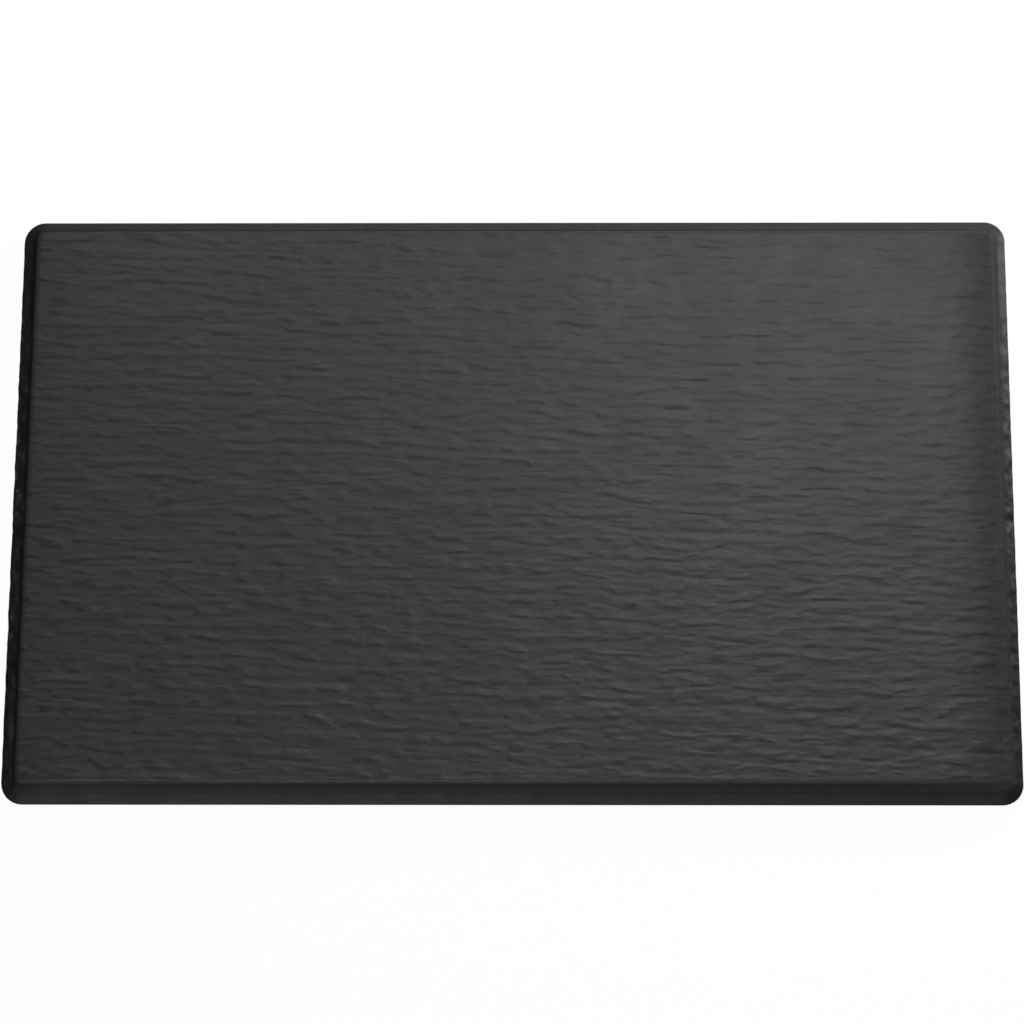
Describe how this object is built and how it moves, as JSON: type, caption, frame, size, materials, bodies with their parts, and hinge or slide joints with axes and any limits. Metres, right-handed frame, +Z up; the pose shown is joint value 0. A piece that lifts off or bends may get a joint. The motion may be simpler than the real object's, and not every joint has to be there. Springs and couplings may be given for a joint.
{
  "type": "serving tray",
  "caption": "Flat rectangular slate-look melamine serving tray: riven plateau with a rounded shoulder on a sloping hewn flange, hollow underside on push-in silicone feet.",
  "frame": {"origin": "centre of the footprint, on the surface that the feet stand on", "axes": "+X along the long side, +Y towards the back, +Z up"},
  "size_m": [0.53, 0.325, 0.013],
  "materials": {
    "melamine": "matte moulded slate relief, near black",
    "silicone": "matte moulded silicone"
  },
  "bodies": {
    "root": {"tray_body": "melamine", "foot_front_left": "silicone", "foot_front_middle": "silicone", "foot_front_right": "silicone", "foot_back_left": "silicone", "foot_back_middle": "silicone", "foot_back_right": "silicone"}
  },
  "joints": []
}
